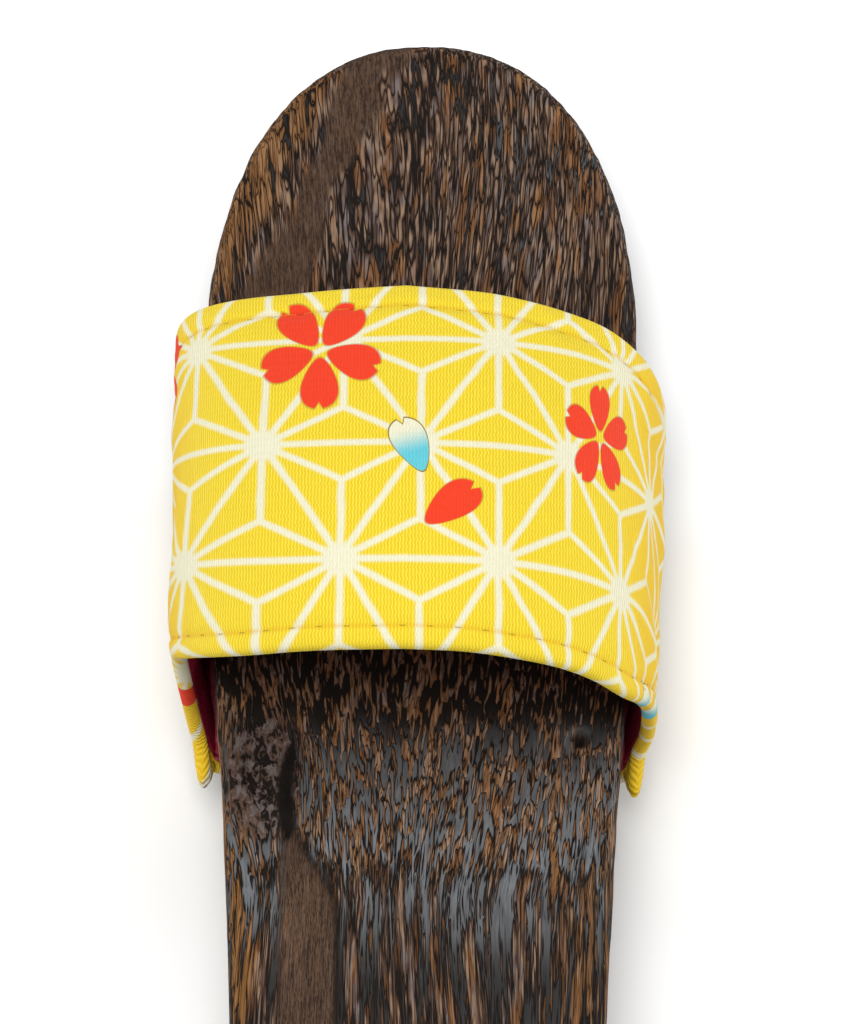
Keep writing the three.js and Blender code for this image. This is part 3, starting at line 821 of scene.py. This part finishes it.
def hemp_leaf(tree, u, v):
    """Distances to the nearest line and to the nearest star of the hemp-leaf lattice."""
    u = calc(tree, "SUBTRACT", u, STAR_AT[0])
    v = calc(tree, "SUBTRACT", v, STAR_AT[1])
    nearest = None
    for angle in (0, math.pi / 3, 2 * math.pi / 3):
        first, second = turned(tree, u, v, angle)
        edge = nearest_line(tree, second, ROW_PITCH)
        column = calc(tree, "ROUND", calc(tree, "DIVIDE", first, STAR_PITCH / 2))
        rows = calc(tree, "ADD", calc(tree, "DIVIDE", second, ROW_PITCH), column)
        from_star = nearest_line(tree, calc(tree, "MULTIPLY", rows, 0.5), 1)
        beyond = calc(tree, "GREATER_THAN", from_star, 1 / 3)
        ray = calc(tree, "MULTIPLY_ADD", beyond, 50, nearest_line(tree, first, STAR_PITCH / 2))
        both = calc(tree, "MINIMUM", edge, ray)
        nearest = both if nearest is None else calc(tree, "MINIMUM", nearest, both)
        if angle == 0:
            star_v = calc(tree, "MULTIPLY", from_star, 2 * ROW_PITCH)
            star_u = nearest_line(tree, first, STAR_PITCH / 2)
            star = calc(tree, "SQRT", calc(tree, "ADD", square(tree, star_u), square(tree, star_v)))
    return nearest, star


def petal(tree, x, y):
    """Above 0 inside a cherry petal that ends in a notched tip at x = 1, y being off its middle line."""
    y = calc(tree, "ABSOLUTE", y)
    lengthwise = square(tree, calc(tree, "DIVIDE", calc(tree, "SUBTRACT", x, 0.565), 0.445))
    sideways = square(tree, calc(tree, "DIVIDE", y, calc(tree, "MULTIPLY_ADD", x, 0.255, 0.15)))
    body = calc(tree, "SUBTRACT", 1, calc(tree, "ADD", lengthwise, sideways))
    notch = calc(tree, "SUBTRACT", calc(tree, "MULTIPLY_ADD", y, 1.5, 0.9), x)
    return calc(tree, "MINIMUM", body, calc(tree, "MULTIPLY", notch, 4))


def blossom(tree, u, v, centre, reach_u, reach_v, first_petal):
    """Five petals round a centre, of this reach round the foot and along it."""
    u = calc(tree, "DIVIDE", calc(tree, "SUBTRACT", u, centre[0]), reach_u)
    v = calc(tree, "DIVIDE", calc(tree, "SUBTRACT", v, centre[1]), reach_v)
    u, v = turned(tree, u, v, math.radians(first_petal))
    angle = calc(tree, "DIVIDE", calc(tree, "ARCTAN2", v, u), math.radians(72))
    folded = calc(tree, "SUBTRACT", calc(tree, "FRACT", calc(tree, "ADD", angle, 0.5)), 0.5)
    folded = calc(tree, "MULTIPLY", folded, math.radians(72))
    out = calc(tree, "SQRT", calc(tree, "ADD", square(tree, u), square(tree, v)))
    x = calc(tree, "MULTIPLY", out, calc(tree, "COSINE", folded))
    y = calc(tree, "MULTIPLY", out, calc(tree, "SINE", folded))
    return petal(tree, x, y)


def loose_petal(tree, u, v, root, tip, slimness):
    """One fallen petal from its root to its notched tip, and how far along it a point is."""
    length = math.dist(root, tip)
    angle = math.atan2(tip[1] - root[1], tip[0] - root[0])
    x, y = turned(tree, calc(tree, "SUBTRACT", u, root[0]), calc(tree, "SUBTRACT", v, root[1]), angle)
    x = calc(tree, "DIVIDE", x, length)
    return petal(tree, x, calc(tree, "DIVIDE", y, length / slimness)), x


def vector_of(tree, x, y, z):
    node = put(tree, "ShaderNodeCombineXYZ")
    for socket, value in zip(node.inputs, (x, y, z)):
        feed(tree, socket, value)
    return node.outputs[0]


def cloth_noise(width, run, seed, detail=1.0):
    """Noise this wide round the foot and this long along it, in millimetres of flat cloth."""
    place = vector_of(cloth, calc(cloth, "DIVIDE", u_mm, width), calc(cloth, "DIVIDE", v_mm, run), seed)
    return speckle(cloth, place, detail)


drift = cloth_noise(6, 6, 0)
u_print = calc(cloth, "MULTIPLY_ADD", calc(cloth, "SUBTRACT", drift, 0.5), 0.8, u_mm)
crimp = calc(cloth, "SINE", calc(cloth, "MULTIPLY", v_mm, 2 * math.pi / CRIMP_PITCH))
rib_shift = cloth_noise(2.5, 1.4, 2)
rib_u = calc(cloth, "MULTIPLY_ADD", crimp, 0.07, calc(cloth, "MULTIPLY_ADD", rib_shift, 0.3, u_mm))
rib = calc(cloth, "SINE", calc(cloth, "MULTIPLY", rib_u, 2 * math.pi / RIB_PITCH))

# The cloth is pulled down at the right and back at the left, and the hemp leaves go with it.
PULL_FROM, PULL_FULL, PULL_END = 15.0, 45.0, 30.0
outward = calc(cloth, "MAXIMUM", calc(cloth, "SUBTRACT", calc(cloth, "ABSOLUTE", u_print), PULL_FROM), 0)
past_full = calc(cloth, "MAXIMUM", calc(cloth, "SUBTRACT", outward, PULL_FULL), 0)
past_full = calc(cloth, "MINIMUM", past_full, PULL_END)
pull = square(cloth, calc(cloth, "MINIMUM", outward, PULL_FULL))
pull = calc(cloth, "MULTIPLY_ADD", past_full, 2 * PULL_FULL, pull)
pull = calc(cloth, "MULTIPLY_ADD", square(cloth, past_full), -PULL_FULL / PULL_END, pull)
on_right = calc(cloth, "GREATER_THAN", u_print, 0)
left_pull = calc(cloth, "MULTIPLY_ADD", v_mm, 0.00007, 0.0044)
u_star = calc(cloth, "MULTIPLY_ADD", pull, between(cloth, on_right, left_pull, 0.00254), u_print)
left_drop = calc(cloth, "MULTIPLY_ADD", v_mm, 0.000047, 0.0026)
v_star = calc(cloth, "MULTIPLY_ADD", pull, between(cloth, on_right, left_drop, -0.0021), v_mm)
leaf, star = hemp_leaf(cloth, u_star, v_star)
lines_in = ramp(cloth, leaf, LINE_WIDTH / 2 + 0.45, LINE_WIDTH / 2 - 0.4)
stars_in = ramp(cloth, star, STAR_RADIUS + 0.7, STAR_RADIUS - 0.9)
line = calc(cloth, "MAXIMUM", lines_in, stars_in)
# Painted shade: the crepe's rib grooves are coloured a deeper yellow.
ground = blend_colour(cloth, ramp(cloth, rib, -0.9, 0.9), GROOVE_SHADE_YELLOW, YELLOW)
# Painted shade: the print turns a deeper, more orange yellow down the band's sides.
ground = blend_colour(cloth, ramp(cloth, calc(cloth, "ABSOLUTE", u_mm), 40, 62, 0, 0.6), ground, SHADED_SIDE_YELLOW)
print_colour = blend_colour(cloth, line, ground, CREAM)
red_flowers = (
    ((-16.8, -25.7), 12.3, 15.0, 90),
    ((40.3, -7.9), 8.4, 13.0, -90),
    ((-64, -31), 11.5, 13, 54),
)
for centre, reach_u, reach_v, first_petal in red_flowers:
    flower = blossom(cloth, u_mm, v_mm, centre, reach_u, reach_v, first_petal)
    print_colour = blend_colour(cloth, ramp(cloth, flower, -0.14, -0.02, 0, 0.5), print_colour, OLIVE)
    print_colour = blend_colour(cloth, ramp(cloth, flower, -0.03, 0.1), print_colour, VERMILION)
red_petals = (((2.9, 17.6), (14.1, 7.4), 1.2), ((-89, 46), (-90, 28), 1.7))
for root, tip, slimness in red_petals:
    red_petal, _ = loose_petal(cloth, u_mm, v_mm, root, tip, slimness)
    print_colour = blend_colour(cloth, ramp(cloth, red_petal, -0.08, -0.02, 0, 0.5), print_colour, OLIVE)
    print_colour = blend_colour(cloth, ramp(cloth, red_petal, -0.02, 0.08), print_colour, VERMILION)
blue_petals = (((4.3, 6.2), (-0.8, -7.6), 1.3), ((66, 49.5), (58.5, 42), 1.1), ((81, 47), (71, 40), 1.1))
for root, tip, slimness in blue_petals:
    blue, reach = loose_petal(cloth, u_mm, v_mm, root, tip, slimness)
    print_colour = blend_colour(cloth, ramp(cloth, blue, -0.14, -0.06), print_colour, OLIVE)
    shade = blend_colour(cloth, ramp(cloth, reach, 0.42, 0.86), SKY, CREAM)
    print_colour = blend_colour(cloth, ramp(cloth, blue, -0.02, 0.04), print_colour, shade)
print_colour = blend_colour(cloth, ramp(cloth, rib, -1, 0.4, 0.13, 0), print_colour, RIB_SHADE, "MULTIPLY")

# Along both hems the cloth is drawn in under the stitches, with a dark needle hole at each end of them.
from_front, from_rear, hem_u = kept(cloth, "hem_mm")
off_front = calc(cloth, "ABSOLUTE", calc(cloth, "SUBTRACT", from_front, FRONT_STITCH))
off_rear = calc(cloth, "ABSOLUTE", calc(cloth, "SUBTRACT", from_rear, REAR_STITCH))
off_seam = calc(cloth, "MINIMUM", off_front, off_rear)
seam_share = ramp(cloth, off_seam, 0.9, 0.1, 0, 0.35)
print_colour = blend_colour(cloth, seam_share, print_colour, SEAM_SHADE, "MULTIPLY")
from_hole = nearest_line(cloth, hem_u, STITCH_PITCH)
thread = calc(cloth, "MULTIPLY", ramp(cloth, off_seam, 0.26, 0.14), ramp(cloth, from_hole, 0.6, 1, 0, 0.25))
print_colour = blend_colour(cloth, thread, print_colour, THREAD)
hole = calc(cloth, "MULTIPLY", ramp(cloth, off_seam, 0.2, 0.08), ramp(cloth, from_hole, 0.8, 0.4, 0, 0.5))
print_colour = blend_colour(cloth, hole, print_colour, NEEDLE_HOLE)

fabric = cloth.nodes["Principled BSDF"]
feed(cloth, fabric.inputs["Base Color"], print_colour)
fabric.inputs["Roughness"].default_value = 0.85
fabric.inputs["Specular IOR Level"].default_value = 0.14
fabric.inputs["Sheen Weight"].default_value = 0.05
fabric.inputs["Sheen Roughness"].default_value = 0.5
weave = put(cloth, "ShaderNodeBump")
weave.inputs["Strength"].default_value = 0.7
weave.inputs["Distance"].default_value = 0.12 * MM
feed(cloth, weave.inputs["Height"], rib)
feed(cloth, fabric.inputs["Normal"], weave.outputs[0])
band.data.materials.clear()
band.data.materials.append(crepe)
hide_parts("upper_band")
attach(band, "root")

# Lining.
# A strip of burgundy leatherette under the band, pebbled and slightly glossy, glued to the foam and
# caught under both hems; its two ends run down beside the sole.
LINING_GIRTHS = 180
LINING_RUNS = 70
LINED_TO = 0.045
lined_girths = np.linspace(-1 + LINED_TO, 1 - LINED_TO, LINING_GIRTHS + 1)
lining_places = np.zeros((LINING_RUNS + 1, LINING_GIRTHS + 1, 3))
lined_run = np.array([np.interp(lined_girths, girths, run_across[:, i]) for i in range(len(fine_across))]).T
lined_width = lined_run[:, -1] - 2 * LINING_EDGE
for j in range(LINING_RUNS + 1):
    run = LINING_EDGE + lined_width * j / LINING_RUNS
    across_here = np.array([np.interp(r, lined_run[i], fine_across) for i, r in enumerate(run)])
    outward_here = out_of_band(lined_girths, across_here)
    lining_places[j] = on_band(lined_girths, across_here) - outward_here * (WALL - LINING_THICKNESS)
bpy.ops.object.select_all(action="DESELECT")
bpy.ops.mesh.primitive_grid_add(x_subdivisions=LINING_GIRTHS, y_subdivisions=LINING_RUNS, size=2)
lining = bpy.context.object
lining.name = "band_lining"
lining.data.name = "band_lining"
set_coordinates(lining.data, lining_places.reshape(-1, 3))
work_on(lining)
skin = lining.modifiers.new("skin", "SOLIDIFY")
skin.thickness = LINING_THICKNESS * MM
skin.offset = 1
bpy.ops.object.modifier_apply(modifier=skin.name)
bpy.ops.object.shade_smooth()

BURGUNDY, WINE_DARK = tint(172, 24, 60), tint(132, 14, 44)
PEBBLE = 0.55
leatherette = bpy.data.materials.new("burgundy_leatherette")
leatherette.use_nodes = True
leather = leatherette.node_tree
leather_place = put(leather, "ShaderNodeVectorMath", operation="SCALE")
feed(leather, leather_place.inputs[0], put(leather, "ShaderNodeTexCoord").outputs["Object"])
leather_place.inputs["Scale"].default_value = 1 / (PEBBLE * MM)
pebbles = put(leather, "ShaderNodeTexVoronoi", feature="F1")
feed(leather, pebbles.inputs["Vector"], leather_place.outputs[0])
pebbles.inputs["Scale"].default_value = 1.0
pebble_height = ramp(leather, pebbles.outputs["Distance"], 0.15, 0.75, 1, 0)
leather_shader = leather.nodes["Principled BSDF"]
leather_tone = blend_colour(leather, pebble_height, WINE_DARK, BURGUNDY)
feed(leather, leather_shader.inputs["Base Color"], leather_tone)
feed(leather, leather_shader.inputs["Roughness"], ramp(leather, pebble_height, 0, 1, 0.55, 0.4))
leather_shader.inputs["Specular IOR Level"].default_value = 0.45
leather_shader.inputs["Coat Weight"].default_value = 0.12
leather_shader.inputs["Coat Roughness"].default_value = 0.3
pebbling = put(leather, "ShaderNodeBump")
pebbling.inputs["Strength"].default_value = 0.6
pebbling.inputs["Distance"].default_value = 0.08 * MM
feed(leather, pebbling.inputs["Height"], pebble_height)
feed(leather, leather_shader.inputs["Normal"], pebbling.outputs[0])
lining.data.materials.clear()
lining.data.materials.append(leatherette)
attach(lining, "root")
